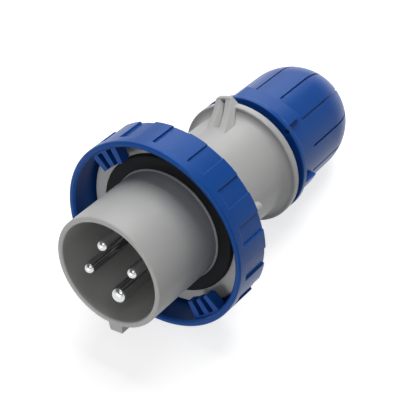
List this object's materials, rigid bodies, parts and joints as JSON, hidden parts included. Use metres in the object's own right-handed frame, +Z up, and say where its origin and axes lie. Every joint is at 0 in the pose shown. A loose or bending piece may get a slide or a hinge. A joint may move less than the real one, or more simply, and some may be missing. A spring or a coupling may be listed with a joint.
{
  "type": "pin and sleeve plug, watertight, with bayonet coupling ring",
  "caption": "Blue and grey pin and sleeve power plug with round contacts in a tubular collar, a gasketed bayonet coupling ring and a domed cable gland nut.",
  "frame": {"origin": "on the table, below the middle of the bounding box", "axes": "+X level, from the mouth towards the cable gland; +Z up; +Y to the right when looking from the gland towards the mouth. The plug lies on its side with its mouth raised 11.48 degrees."},
  "size_m": [0.155, 0.0844, 0.0859],
  "materials": {
    "grey_moulding": "satin",
    "blue_moulding": "satin",
    "black_rubber": "matte",
    "inner_moulding": "matte",
    "plated_contact": "bright",
    "plated_steel": "satin"
  },
  "bodies": {
    "plug_body": {"front_body": "grey_moulding", "rear_housing": "grey_moulding", "face_gasket": "black_rubber", "body_seal": "black_rubber", "gland_seal": "black_rubber", "contact_carrier": "inner_moulding", "carrier_retainer": "inner_moulding", "gland_cage": "inner_moulding", "pin_earth": "plated_contact", "pin_l1": "plated_contact", "pin_l2": "plated_contact", "pin_l3": "plated_contact", "terminal_screw_earth": "plated_steel", "terminal_screw_l1": "plated_steel", "terminal_screw_l2": "plated_steel", "terminal_screw_l3": "plated_steel", "housing_screw_left": "plated_steel", "housing_screw_right": "plated_steel"},
    "ring": {"coupling_ring": "blue_moulding"},
    "gland_slide": {"slip_washer": "inner_moulding"},
    "nut": {"gland_nut": "blue_moulding"}
  },
  "joints": [
    {"name": "ring_turn", "type": "hinge", "parent": "plug_body", "child": "ring", "pos_m": [-0.02896, 0, 0.04161], "axis": [-0.98, 0, 0.199], "range_deg": [0, 45]},
    {"name": "gland_advance", "type": "slide", "parent": "plug_body", "child": "gland_slide", "axis": [0.98, 0, -0.199], "range_m": [0, 0.006]},
    {"name": "gland_turn", "type": "hinge", "parent": "gland_slide", "child": "nut", "pos_m": [0.02034, 0, 0.03161], "axis": [0.98, 0, -0.199], "range_deg": [0, 720]}
  ],
  "couplings": [
    {"joint": "gland_advance", "follows": "gland_turn", "m_per_rad": 0.00047746}
  ]
}
